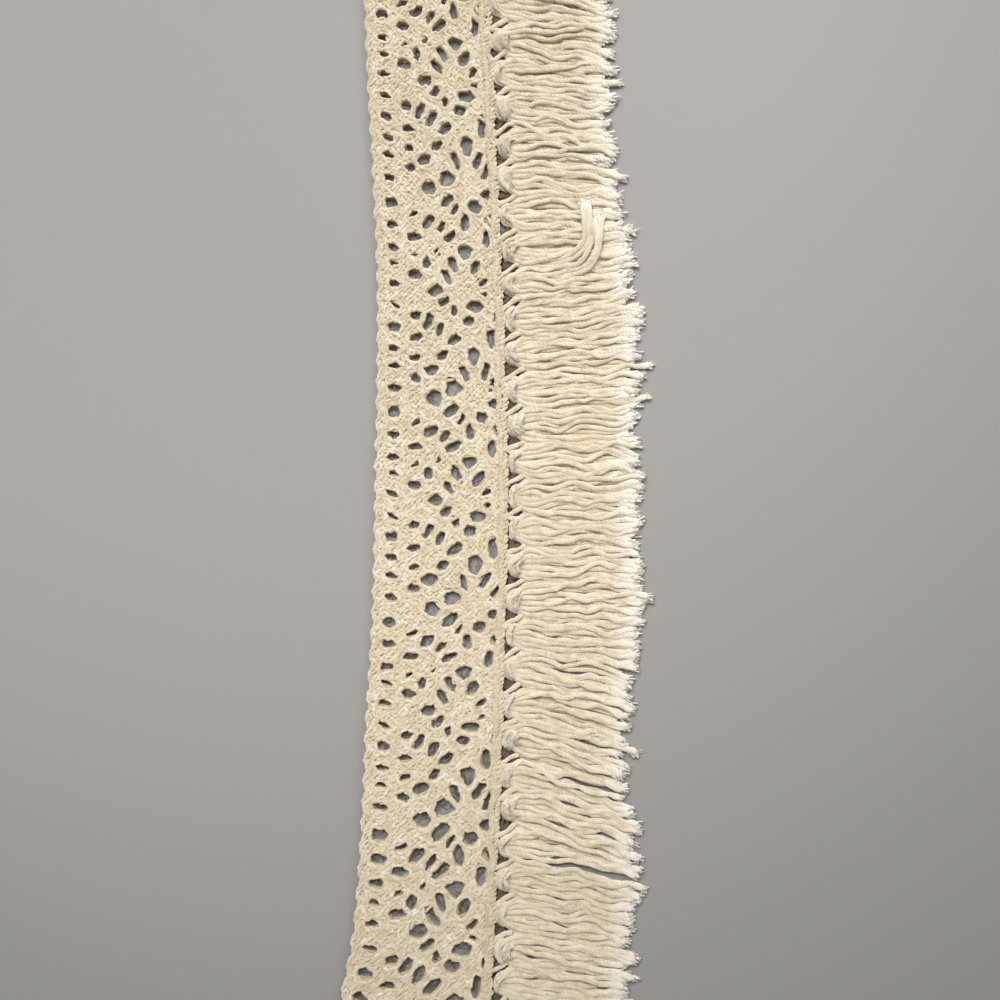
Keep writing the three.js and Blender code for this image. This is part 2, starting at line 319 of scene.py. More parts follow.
class Net:
    """The crossing threads of the lace, from a plain lattice to the form that its gaps give it."""

    def __init__(self):
        self.column = LACE_WIDTH / COLUMNS
        self.row = REPEAT / THREADS_PER_REPEAT / 2
        self.low = -LENGTH / 2 + 2
        self.rows = int((LENGTH + 4) / self.row)
        self.trace()

    def trace(self):
        """Follow each thread up the strip, to and fro between the two edges."""
        starts = [(m, 1) for m in range(0, COLUMNS, 2)] + [(m, -1) for m in range(2, COLUMNS + 1, 2)]
        between = BETWEEN_CROSSINGS + 1
        grid = [(m * self.column, self.low + h * self.row)
                for h in range(self.rows + 1) for m in range(COLUMNS + 1)]
        places = [np.array(grid)]
        count = len(grid)
        self.paths = []
        self.heights = []
        for start, way in starts:
            m = start
            ids = [m]
            heights = [self.weave(m, way)]
            for h in range(1, self.rows + 1):
                if not 0 <= m + way <= COLUMNS:
                    way = -way
                step = [count + i for i in range(BETWEEN_CROSSINGS)]
                count += BETWEEN_CROSSINGS
                f = np.arange(1, between) / between
                across = (m + way * f) * self.column
                along = self.low + (h - 1 + f) * self.row
                places.append(np.column_stack([across, along]))
                here = heights[-1]
                m += way
                there = self.weave(m, way)
                heights += [here + (there - here) * (0.5 - 0.5 * math.cos(math.pi * g)) for g in f]
                heights.append(there)
                ids += step + [h * (COLUMNS + 1) + m]
            self.paths.append(ids)
            self.heights.append(heights)
        self.paths = np.array(self.paths)
        self.heights = np.array(self.heights)
        self.places = np.concatenate(places)

    @staticmethod
    def weave(m, way):
        """Over and under by turns, and level where a thread turns back at an edge."""
        if m in (0, COLUMNS):
            return 0.0
        return way * (1.0 if m % 2 == 0 else -1.0)

    def seeds(self, gaps):
        """The lattice's own opening in which each gap starts, the largest first."""
        taken = set()
        found = np.zeros((len(gaps), 2))
        for k in np.argsort(-gaps[:, 2] * gaps[:, 3]):
            across, along = gaps[k, :2]
            m0 = round(across / self.column)
            h0 = round((along - self.low) / self.row)
            near = [
                (math.hypot(m * self.column - across, self.low + h * self.row - along), m, h)
                for m in range(max(1, m0 - 3), min(COLUMNS, m0 + 4))
                for h in range(h0 - 3, h0 + 4)
                if (m + h) % 2 and (m, h) not in taken
            ]
            _, m, h = min(near)
            taken.add((m, h))
            found[k] = m * self.column, self.low + h * self.row
        return found

    def draw_in(self, gaps):
        """Keep the threads taut while the gaps grow between them."""
        start = self.seeds(gaps)
        p = self.places
        edge = (p[:, 0] < 1e-6) | (p[:, 0] > LACE_WIDTH - 1e-6)
        end = (p[:, 1] < self.low + 1e-6) | (p[:, 1] > self.low + self.rows * self.row - 1e-6)
        across = p[:, 0].copy()
        along = p[:, 1].copy()
        a = self.paths[:, :-1].ravel()
        b = self.paths[:, 1:].ravel()
        n = len(p)
        ties = np.maximum(np.bincount(a, minlength=n) + np.bincount(b, minlength=n), 1)
        which, point = [], []
        for k, gap in enumerate(gaps):
            near = np.where((np.abs(p[:, 0] - gap[0]) < 6) & (np.abs(p[:, 1] - gap[1]) < 6))[0]
            which.append(np.full(len(near), k))
            point.append(near)
        which = np.concatenate(which)
        point = np.concatenate(point)
        cos, sin = np.cos(gaps[which, 4]), np.sin(gaps[which, 4])
        half_long = gaps[which, 2] * STAND_OFF_LONG + THREAD * 1.6
        half_wide = gaps[which, 3] * STAND_OFF_WIDE + THREAD * 1.1
        taper = gaps[which, 5]
        for turn in range(DRAW_ROUNDS):
            grown = min(1.0, (turn + 1) / (0.8 * DRAW_ROUNDS))
            pull = p[b] - p[a]
            move = np.zeros_like(p)
            for axis in (0, 1):
                move[:, axis] += np.bincount(a, pull[:, axis], n)
                move[:, axis] -= np.bincount(b, pull[:, axis], n)
            taut = TAUT_GROWING if grown < 1 else TAUT_AT_REST
            p += taut * move / ties[:, None]
            centre = (start + (gaps[:, :2] - start) * grown)[which]
            d = p[point] - centre
            u = d[:, 0] * cos + d[:, 1] * sin
            v = d[:, 1] * cos - d[:, 0] * sin
            long = half_long * grown
            wide = half_wide * grown * (1 - taper * np.clip(u / long, -1, 1))
            side = np.abs(v) / wide
            tip = np.abs(u) / long + POINTED * side
            q = (side**CORNERS + tip**CORNERS) ** (1 / CORNERS) + 1e-9
            inside = q < 1
            by_side = (side / q) ** (CORNERS - 1)
            by_tip = (tip / q) ** (CORNERS - 1)
            slope_u = by_tip * np.sign(u) / long
            slope_v = (by_side + POINTED * by_tip) * np.sign(v) / wide
            slope = np.hypot(slope_u, slope_v) + 1e-9
            out = np.where(inside, np.minimum((1 - q) / slope, LONGEST_PUSH), 0) / slope
            push_u, push_v = slope_u * out, slope_v * out
            p[:, 0] += np.bincount(point, push_u * cos - push_v * sin, n)
            p[:, 1] += np.bincount(point, push_u * sin + push_v * cos, n)
            p[edge, 0] = across[edge]
            p[end, 1] = along[end]
            p[:, 0] = np.clip(p[:, 0], 0, LACE_WIDTH)

    def threads(self, rng):
        """Each thread's points in millimetres on the table, cut at the strip's two ends."""
        lines = []
        for number, (path, heights) in enumerate(zip(self.paths, self.heights)):
            across, along = self.places[path].T
            x, y = on_strip(worked_edges(across, along), along)
            z = WEAVE_LEVEL + WEAVE_HIGH * heights + swell(x, y)
            points = resampled(np.column_stack([x, y, z]), THREAD_STEP)
            wander = [uneven(rng, len(points), 2, high) for high in (0.24, 0.24, 0.09)]
            points += np.column_stack(wander)
            limit = LENGTH / 2 + 0.3 * spread(number, 5)
            lines += runs_inside(points, limit)
        return lines


def resampled(points, step):
    """The same line with its points an even step apart."""
    lengths = np.r_[0, np.cumsum(np.linalg.norm(np.diff(points, axis=0), axis=1))]
    count = max(2, int(lengths[-1] / step) + 1)
    at = np.linspace(0, lengths[-1], count)
    return np.column_stack([np.interp(at, lengths, points[:, i]) for i in range(3)])


def uneven(rng, count, every, high):
    """Smooth chance values along a line, with a new one at every few points."""
    knots = rng.normal(0, high, count // every + 3)
    return np.interp(np.arange(count) / every, np.arange(len(knots)), knots)


def runs_inside(points, limit):
    """The parts of a line that lie between the strip's two cut ends."""
    keep = np.abs(points[:, 1]) < limit
    edges = np.flatnonzero(np.diff(np.r_[0, keep.astype(int), 0]))
    return [points[i:j] for i, j in zip(edges[::2], edges[1::2]) if j - i > 4]


class Spinner:
    """Gathers threads of one kind and draws them all as one piece."""

    def __init__(self, name, sides, across, high):
        self.name = name
        self.sides = sides
        self.section = (across, high)
        self.lines = []

    def add(self, points, thick=1.0, whiter=0.0, shade=None):
        """A thread through these points; thick and whiter are numbers, or one for each point.

        A point of no thickness just beyond each end closes it.
        """
        n = len(points)
        thick = np.broadcast_to(np.asarray(thick, float), n).copy()
        whiter = np.broadcast_to(np.asarray(whiter, float), n).copy()
        first, last = points[0], points[-1]
        points = np.vstack([first, points, last])
        points[0] += END_CAP * (first - points[2]) / (np.linalg.norm(first - points[2]) + 1e-9)
        points[-1] += END_CAP * (last - points[-3]) / (np.linalg.norm(last - points[-3]) + 1e-9)
        thick = np.r_[0, thick, 0]
        whiter = np.r_[whiter[0], whiter, whiter[-1]]
        if shade is None:
            shade = 0.5 + 0.5 * spread(len(self.lines), 9)
        self.lines.append((points, thick, whiter, shade))

    def outline(self):
        curve = bpy.data.curves.new(self.name + "_section", "CURVE")
        curve.dimensions = "2D"
        line = curve.splines.new("POLY")
        line.points.add(self.sides - 1)
        line.use_cyclic_u = True
        for i, point in enumerate(line.points):
            angle = math.tau * i / self.sides
            wide, high = self.section
            point.co = (wide * MM * math.cos(angle), high * MM * math.sin(angle), 0, 1)
        return linked(self.name + "_section", curve)

    def drawn(self, material, solid):
        """Sweep every line, keep what the material needs on the mesh, and close the ends."""
        curve = bpy.data.curves.new(self.name, "CURVE")
        curve.dimensions = "3D"
        curve.twist_mode = "Z_UP"
        curve.bevel_mode = "OBJECT"
        section = self.outline()
        curve.bevel_object = section
        for points, thick, _, _ in self.lines:
            line = curve.splines.new("POLY")
            line.points.add(len(points) - 1)
            placed = np.column_stack([points * MM, np.ones(len(points))])
            line.points.foreach_set("co", placed.ravel())
            line.points.foreach_set("radius", thick)
        swept = linked(self.name + "_swept", curve)
        depsgraph = bpy.context.evaluated_depsgraph_get()
        mesh = bpy.data.meshes.new_from_object(swept.evaluated_get(depsgraph))
        for helper in (swept, section):
            bpy.data.curves.remove(helper.data)
        self.mark(mesh)
        return piece(self.name, mesh, material, solid)

    def mark(self, mesh):
        """Keep each point's place along and around its thread, for the material to follow."""
        along, whiter, shade, count = [], [], [], 0
        for points, _, white, tone in self.lines:
            steps = np.linalg.norm(np.diff(points, axis=0), axis=1)
            along.append(np.r_[0, np.cumsum(steps)])
            whiter.append(white)
            shade.append(np.full(len(points), tone))
            count += len(points)
        angle = np.tile(math.tau * np.arange(self.sides) / self.sides, count)
        around = np.column_stack([np.cos(angle), np.sin(angle), np.zeros(len(angle))])
        for name, values in (("along", along), ("whiter", whiter), ("shade", shade)):
            each = np.repeat(np.concatenate(values), self.sides)
            mesh.attributes.new(name, "FLOAT", "POINT").data.foreach_set("value", each)
        turned = mesh.attributes.new("around", "FLOAT_VECTOR", "POINT")
        turned.data.foreach_set("vector", around.ravel())
        shape = bmesh.new()
        shape.from_mesh(mesh)
        bmesh.ops.remove_doubles(shape, verts=shape.verts, dist=1e-7)
        shape.to_mesh(mesh)
        shape.free()


def linked(name, data):
    made = bpy.data.objects.new(name, data)
    bpy.context.collection.objects.link(made)
    return made


def piece(name, mesh, material, solid):
    """A finished, smooth piece in its place, which stands for a solid of the part."""
    mesh.polygons.foreach_set("use_smooth", np.ones(len(mesh.polygons), bool))
    mesh.materials.clear()
    mesh.materials.append(material)
    made = linked(name, mesh)
    node, slot = solid
    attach(made, "root")
    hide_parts(node)
    return made


def lace_ground(gaps, material):
    """The closed cloth that shows between the threads, open where the lace is."""
    columns = round(LACE_WIDTH / GROUND_STEP)
    rows = round(LENGTH / GROUND_STEP)
    shape = bmesh.new()
    bmesh.ops.create_grid(shape, x_segments=columns, y_segments=rows, size=0.5)
    co = np.array([v.co[:2] for v in shape.verts])
    across = (co[:, 0] + 0.5) * (LACE_WIDTH - 2 * GROUND_MARGIN) + GROUND_MARGIN
    low = DRAWN_FROM + (-LENGTH / 2 - DRAWN_FROM) / DRAWN_OUT
    along = low + (co[:, 1] + 0.5) * (LENGTH / 2 - low)
    open_here = np.zeros(len(co), bool)
    for gap in gaps:
        near = np.where((np.abs(across - gap[0]) < 5) & (np.abs(along - gap[1]) < 5))[0]
        dx, dy = across[near] - gap[0], along[near] - gap[1]
        u = dx * math.cos(gap[4]) + dy * math.sin(gap[4])
        v = dy * math.cos(gap[4]) - dx * math.sin(gap[4])
        long, wide = gap[2] + 0.1, gap[3] + 0.1
        side = np.abs(v) / (wide * (1 - gap[5] * np.clip(u / long, -1, 1)))
        open_here[near] |= np.maximum(side, np.abs(u) / long + POINTED * side) < 1
    x, y = on_strip(worked_edges(across, along), along)
    inside = np.minimum(across, LACE_WIDTH - across)
    z = GROUND_LOW + (WEAVE_LEVEL - GROUND_LOW) * eased(inside / 1.5) + swell(x, y)
    shape.verts.ensure_lookup_table()
    for vert, place in zip(shape.verts, np.column_stack([x, y, z]) * MM):
        vert.co = place
    gone = [shape.verts[i] for i in np.flatnonzero(open_here)]
    bmesh.ops.delete(shape, geom=gone, context="VERTS")
    mesh = bpy.data.meshes.new("lace_ground")
    shape.to_mesh(mesh)
    shape.free()
    return piece("lace_ground", mesh, material, LACE)


def turned_with(gap, u, v):
    """The place in the pattern of a place along and across a gap."""
    across = gap[0] + u * math.cos(gap[4]) - v * math.sin(gap[4])
    along = gap[1] + u * math.sin(gap[4]) + v * math.cos(gap[4])
    return across, along


def gap_shade(rng, gaps, material):
    """The loose fibres that lie low in each gap, more of them where the strip is pulled open,
    coloured dark as painted shade.
    """
    shade = Fibres("gap_shade")
    for gap in gaps:
        many = round(SHADE_FIBRES * (1 + lower_part(gap[1])))
        u, v = rng.uniform(-1.1, 1.1, (2, many, 2)) * gap[2:4, None, None]
        across, along = turned_with(gap, u, v)
        x, y = on_strip(worked_edges(across, along), along)
        ends = np.stack([x, y, rng.uniform(0.15, 0.9, (many, 2))], axis=-1)
        for start, end in ends:
            middle = 0.5 * (start + end) + rng.normal(0, 0.2, 3) * (1, 1, 0)
            shade.add(start, middle, end, rng.uniform(0.05, 0.09))
    shade.drawn(material, LACE)


def gap_rims(rng, gaps, material, fuzz):
    """The lower threads of the lace, which run round each gap, and the fibres that reach into it."""
    rims = Spinner("gap_rims", 4, 0.5, 0.5)
    turn = np.linspace(0, math.tau, 13)
    side = np.abs(np.sin(turn))
    tip = np.abs(np.cos(turn)) + POINTED * side
    q = (side**CORNERS + tip**CORNERS) ** (1 / CORNERS)
    u, v = np.cos(turn) / q, np.sin(turn) / q
    for number, gap in enumerate(gaps):
        for row, (level, beyond) in enumerate(zip(RIM_LEVELS, RIM_BEYOND)):
            bulge = 0.18 * np.sin(turn * (3 + row) + number)
            long = u * (gap[2] * STAND_OFF_LONG + beyond)
            wide = v * (gap[3] * STAND_OFF_WIDE + beyond) * (1 - gap[5] * u)
            across, along = turned_with(gap, long, wide)
            along = along - bulge
            x, y = on_strip(worked_edges(across + bulge, along), along)
            z = level + 0.12 * np.sin(turn * 4 + number)
            rims.add(np.column_stack([x, np.clip(y, -LENGTH / 2, LENGTH / 2), z]))
        centre = np.array([*on_strip(gap[0], gap[1]), 1.6])
        for at in np.column_stack([x, y, np.full(len(x), 1.7)])[:-1]:
            inward = (centre - at) / np.linalg.norm(centre - at)
            inward = inward + rng.normal(0, 0.55, 3) * (1, 1, 0.6)
            start = at + rng.normal(0, 0.25, 3)
            long = rng.uniform(0.7, 1.5)
            middle = start + 0.5 * long * inward + rng.normal(0, 0.12, 3)
            fuzz.add(start, middle, start + long * inward, 0.035)
    # The rims take the material they are given, the darker colour of painted shade.
    rims.drawn(material, LACE)


class Fibres:
    """Gathers loose fibres, each a thin closed spindle with one bend."""

    def __init__(self, name):
        self.name = name
        self.lines = []

    def add(self, start, middle, end, thick):
        self.lines.append((start, middle, end, thick))

    def drawn(self, material, solid):
        start, middle, end = (np.array([line[i] for line in self.lines]) for i in range(3))
        thick = np.array([line[3] for line in self.lines])[:, None]
        way = end - start
        way /= np.linalg.norm(way, axis=1)[:, None]
        first = np.cross(way, np.where(np.abs(way[:, 2:]) < 0.9, (0, 0, 1), (1, 0, 0)))
        first /= np.linalg.norm(first, axis=1)[:, None]
        second = np.cross(way, first)
        waist = [
            middle + thick * (first * math.cos(angle) + second * math.sin(angle))
            for angle in (0, math.tau / 3, 2 * math.tau / 3)
        ]
        places = np.stack([start, end] + waist, axis=1).reshape(-1, 3) * MM
        one = np.array([(0, 3, 2), (0, 4, 3), (0, 2, 4), (1, 2, 3), (1, 3, 4), (1, 4, 2)])
        faces = (one[None] + 5 * np.arange(len(start))[:, None, None]).reshape(-1, 3)
        mesh = bpy.data.meshes.new(self.name)
        mesh.from_pydata(places.tolist(), [], faces.tolist())
        return piece(self.name, mesh, material, solid)


def standing_fibres(rng, lines, fuzz, many):
    """The loose fibres that stand off these threads."""
    points = np.concatenate(lines)
    points = points[np.abs(points[:, 1]) < LENGTH / 2 - 1.5]
    for at in points[rng.choice(len(points), many, replace=False)]:
        angle = rng.uniform(0, math.tau)
        long = rng.uniform(0.5, 1.2)
        way = np.array([math.cos(angle), math.sin(angle), rng.uniform(-0.25, 0.25)]) * long
        rise = np.array([0, 0, rng.uniform(0.15, 0.5)])
        bend = np.array([-way[1], way[0], 0]) * rng.uniform(-0.3, 0.3)
        fuzz.add(at - way, at + bend + rise, at + way, 0.05)


def knot_places():
    """The number of each knot, and its place along the strip."""
    reach = math.floor((LENGTH / 2 - KNOT_REACH) / KNOT_PITCH)
    numbers = range(-reach, reach + 1)
    return [(k, KNOT_PLACE + k * KNOT_PITCH + KNOT_VARIES * spread(k, 2)) for k in numbers]


def tuft_locks(rng, gathered):
    """The ends of one knot in locks of two to four, each with its own way to lie."""
    lock_of = []
    while len(lock_of) < ENDS:
        many = int(rng.integers(2, 5))
        first = len(lock_of)
        lock = {
            "middle": first + (many - 1) / 2,
            "gather": rng.uniform(0, gathered),
            "swing": rng.normal(0, 0.55),
            "drift": rng.normal(0, 0.8),
            "lift": rng.uniform(-0.1, 0.2),
            "reach": rng.normal(0, 1.25),
            "waves": [(long, high, rng.uniform(0, math.tau))
                      for long, high in ((8.5, 0.2), (14.0, 0.34), (24.0, 0.42))],
        }
        lock_of += [lock] * many
    return lock_of[:ENDS]


def yarn_half(rng, lock, knot, y, place, root_x, level):
    """One half of a doubled yarn, from where it leaves its knot to its cut end."""
    full = KNOT_PITCH / ENDS
    side = place - (ENDS - 1) / 2
    tip = float(lay("tips", y)) - TIP_BACK + lock["reach"]
    tip += LENGTH_SPREAD * spread(knot * ENDS + place, 1) + rng.normal(0, 0.5)
    count = int((tip - root_x) / YARN_STEP)
    f = np.linspace(0, 1, count)
    x = root_x + (tip - root_x) * f
    fan = side * full * (0.64 + 0.42 * np.sqrt(eased(f / SPREAD_AT)))
    fan += (lock["middle"] - place) * full * lock["gather"] * eased((f - 0.08) / 0.3)
    fan += lock["swing"] * np.sin(math.pi * f) * eased(f / 0.3) + lock["drift"] * f
    phase = (x / WAVE_LONG + y * WAVE_DRIFT) * math.tau + 1.2 * spread(knot, 23)
    wave = (0.4 + 0.35 * spread(knot, 21)) * WAVE_HIGH * np.sin(phase) * np.minimum(1, f / 0.5)
    for long, high, start in lock["waves"]:
        own = start + rng.normal(0, 0.8)
        wave += high * np.sin(x / long * math.tau + own) * eased(f / 0.3)
    wave += rng.normal(0, 0.4) * eased((f - 0.1) / 0.4) + rng.normal(0, 0.55) * f
    wave += uneven(rng, count, 2, 0.19) * eased(f / 0.15)
    lean = float(lay("lean", y)) * f**LEAN_CURVE
    swing = x / rng.uniform(8, 14) * math.tau + rng.uniform(0, math.tau)
    z = level + 0.2 * np.sin(swing) * eased(f / 0.2)
    z += lock["lift"] * eased((f - 0.05) / 0.15) * (1 - eased((f - 0.7) / 0.3))
    if level > 1.5 and rng.random() < CROSSING_SHARE:
        wave += rng.choice([-1, 1]) * rng.uniform(1.5, 3.5) * eased((f - 0.1) / 0.6)
        z += 0.55 * eased((f - 0.05) / 0.15) * (1 - eased((f - 0.75) / 0.25))
    z = z - (level - 0.8) * 0.5 * eased((f - 0.75) / 0.25)
    return np.column_stack([x, y + fan + wave + lean, np.maximum(z, 0.7)])


def under_yarn(rng, y, side):
    """A yarn of the lowest layer, which shows only in the slits between the others."""
    f = np.linspace(0, 1, 11)
    root = float(lay("foot", y)) + UNDER_ROOT
    tip = float(lay("tips", y)) - rng.uniform(1.5, 3.5)
    across = side * (0.62 + 0.58 * eased(f / SPREAD_AT)) + 0.3 * np.sin(f * 9 + rng.uniform(0, 6))
    lean = float(lay("lean", y)) * (f * (tip - root) / (tip + 2 - root))**LEAN_CURVE
    return np.column_stack([root + (tip - root) * f, y + across + lean, np.full(11, UNDER_LEVEL)])


def doubled_yarn(rng, locks, knot, y, bight):
    """A yarn looped round the lace's foot: out to its two cut ends from one bend."""
    foot = float(lay("foot", y))
    level = YARN_LEVELS[bight % 2] + rng.uniform(-0.08, 0.08)
    root = foot + YARN_ROOT
    halves = []
    for place in (bight, ENDS - 1 - bight):
        halves.append(yarn_half(rng, locks[place], knot, y, place, root, level))
    half_wide = 0.5 * (halves[1][0, 1] - halves[0][0, 1])
    left = foot + 0.6 + 0.28 * bight + rng.normal(0, 0.3)
    angle = np.linspace(-math.pi / 2, math.pi / 2, 13)[1:-1]
    arch = 0.5 + 0.5 * np.cos(np.linspace(-math.pi, math.pi, 13))[1:-1]
    rounded = np.maximum(np.cos(angle + rng.normal(0, 0.1)), 0.05) ** 0.8
    bend = np.column_stack([
        root - 0.3 - (root - 0.3 - left) * rounded,
        y + half_wide * np.sin(angle),
        level + (0.4 + 0.07 * bight + rng.normal(0, 0.1)) * arch,
    ])
    return np.vstack([halves[0][::-1], bend, halves[1]]), halves


def kept_level(places, low, high):
    """The same places, none lower or higher than these levels."""
    return np.clip(places, (-np.inf, -np.inf, low), (np.inf, np.inf, high))


def frayed_end(fray, rng, tip, way):
    """The loose fibres of one cut end, which stand close together like a brush."""
    way = way / np.linalg.norm(way)
    beside = np.array([-way[1], way[0], 0]) / math.hypot(way[0], way[1])
    above = np.cross(way, beside)
    for i in range(LOOSE_PLIES):
        out = (i - (LOOSE_PLIES - 1) / 2) * beside * rng.uniform(0.6, 1.2)
        out = out + rng.normal(0, 0.4) * above
        start = tip - way * rng.uniform(1.8, 2.8) + 0.17 * out
        long = rng.uniform(2.8, 3.8)
        end = start + (way + 0.09 * out + rng.normal(0, 0.05, 3)) * long
        middle = start + 0.9 * (end - start) + rng.normal(0, 0.05, 3)
        fray.add(*kept_level((start, middle, end), 0.3, 3.4), rng.uniform(0.28, 0.42))
    for _ in range(FIBRES):
        angle = rng.uniform(0, math.tau)
        out = math.cos(angle) * beside + math.sin(angle) * above
        out = out * math.sqrt(rng.random())
        start = tip - way * rng.uniform(0.2, 2.2) + out * 0.65
        lean = way + out * rng.uniform(0.05, 0.4) + rng.normal(0, 0.1, 3)
        long = rng.uniform(1.0, 2.2)
        middle = start + 0.7 * lean * long
        end = start + (lean + rng.normal(0, 0.12, 3)) * long
        fray.add(*kept_level((start, middle, end), 0.2, 3.6), rng.uniform(0.06, 0.11))


def fringe(rng, materials):
    """The knotted yarns, layer on layer, and the fibres of their cut ends."""
    layers = [Spinner("fringe_middle", 6, YARN, YARN), Spinner("fringe_over", 6, YARN, YARN)]
    under = Spinner("fringe_under", 4, 0.85, 0.6)
    fray = Fibres("yarn_ends")
    for knot, y in knot_places():
        thinner = lower_part(y)
        locks = tuft_locks(rng, 0.3 + 0.25 * thinner)
        for i in range(UNDER_YARNS):
            if rng.random() < 0.35 * thinner:
                continue
            side = (i + 0.5) / UNDER_YARNS - 0.5
            line = under_yarn(rng, y, side * REPEAT / KNOTS_PER_REPEAT)
            under.add(line, 1, WHITEST * eased((np.arange(len(line)) - 7) / 4))
        for bight in range(DOUBLED_YARNS):
            line, halves = doubled_yarn(rng, locks, knot, y, bight)
            line = resampled(line, YARN_STEP)
            from_end = np.minimum(np.arange(len(line)), np.arange(len(line))[::-1]) * YARN_STEP
            whiter = WHITEST * (1 - eased((from_end - 0.3) / 7.5))
            thick = 1 + uneven(rng, len(line), 3, 0.1)
            thick += 0.4 * (1 - eased(from_end / 4)) - 0.55 * (1 - eased(from_end / 0.9))
            layers[bight % 2].add(line, thick, whiter)
            for half in halves:
                frayed_end(fray, rng, half[-1], half[-1] - half[-4])
    stray_lock(rng, layers[1], fray)
    yarn_fibres(rng, layers, fray)
    # The lowest yarns are drawn in the darker colour of painted shade.
    under.drawn(materials["painted shade yarn"], FRINGE)
    for layer in layers:
        layer.drawn(materials["yarn"], FRINGE)
    fray.drawn(materials["white fibre"], FRINGE)


def yarn_fibres(rng, layers, fuzz):
    """The loose fibres that lie along the yarns, or from one to the next."""
    lines = [line[0] for layer in layers for line in layer.lines]
    for _ in range(YARN_FIBRES):
        line = lines[rng.integers(len(lines))]
        k = int(rng.integers(3, len(line) - 3))
        way = line[k + 1] - line[k - 1]
        way = way / np.linalg.norm(way) * rng.uniform(0.6, 1.4) + rng.normal(0, 0.3, 3) * (1, 1, 0.2)
        middle = line[k] + rng.normal(0, 0.3, 3) * (1, 1, 0) + (0, 0, rng.uniform(0.5, 0.75))
        start, end = middle - way, middle + way
        start[2] -= 0.15
        end[2] -= 0.15
        fuzz.add(start, middle, end, rng.uniform(0.04, 0.08))


def stray_lock(rng, yarns, fray):
    """A lock of yarns that has turned up over the others near the upper end."""
    levels = (0.9, 1.9, 2.6, 3.0, 3.1, 3.0, 2.8)
    routes = [
        [(14.0, 64.2), (17.8, 64.8), (20.0, 66.0), (21.7, 67.9),
         (22.5, 70.6), (22.3, 74.5), (21.9, 78.8)],
        [(13.2, 63.0), (16.7, 63.3), (20.6, 65.0), (23.1, 67.9),
         (23.7, 71.0), (23.1, 74.9), (22.5, 78.8)],
        [(14.0, 61.4), (17.8, 61.7), (21.3, 63.1), (23.7, 66.0),
         (24.6, 69.5), (24.0, 73.4), (23.3, 78.4)],
        [(16.0, 60.7), (19.8, 61.0), (22.9, 62.3), (25.0, 65.2),
         (25.8, 68.7), (25.4, 71.8), (24.8, 74.5)],
        [(17.2, 60.0), (21.0, 60.4), (24.0, 61.9), (25.8, 64.8),
         (26.8, 68.7), (26.6, 72.6), (26.4, 75.0)],
    ]
    for route in routes:
        places = np.column_stack([route, levels]) + rng.normal(0, 0.15, (len(route), 3))
        line = smooth(places, YARN_STEP)
        from_end = np.arange(len(line))[::-1] * YARN_STEP
        thick = 1 + 0.3 * (1 - eased(from_end / 4)) - 0.45 * (1 - eased(from_end / 0.9))
        yarns.add(line, thick, WHITEST * (1 - eased((from_end - 0.3) / 8)))
        frayed_end(fray, rng, line[-1], line[-1] - line[-4])


def smooth(route, step):
    """A line with an even step on a smooth curve through the places of a route."""
    n = len(route) - 1
    places = []
    for place in np.linspace(0, n - 1e-6, 12 * n):
        k = int(place)
        near = (route[min(max(k + i, 0), n)] for i in (-1, 0, 1, 2))
        places.append(curve_between(*near, place - k))
    return resampled(np.array(places), step)


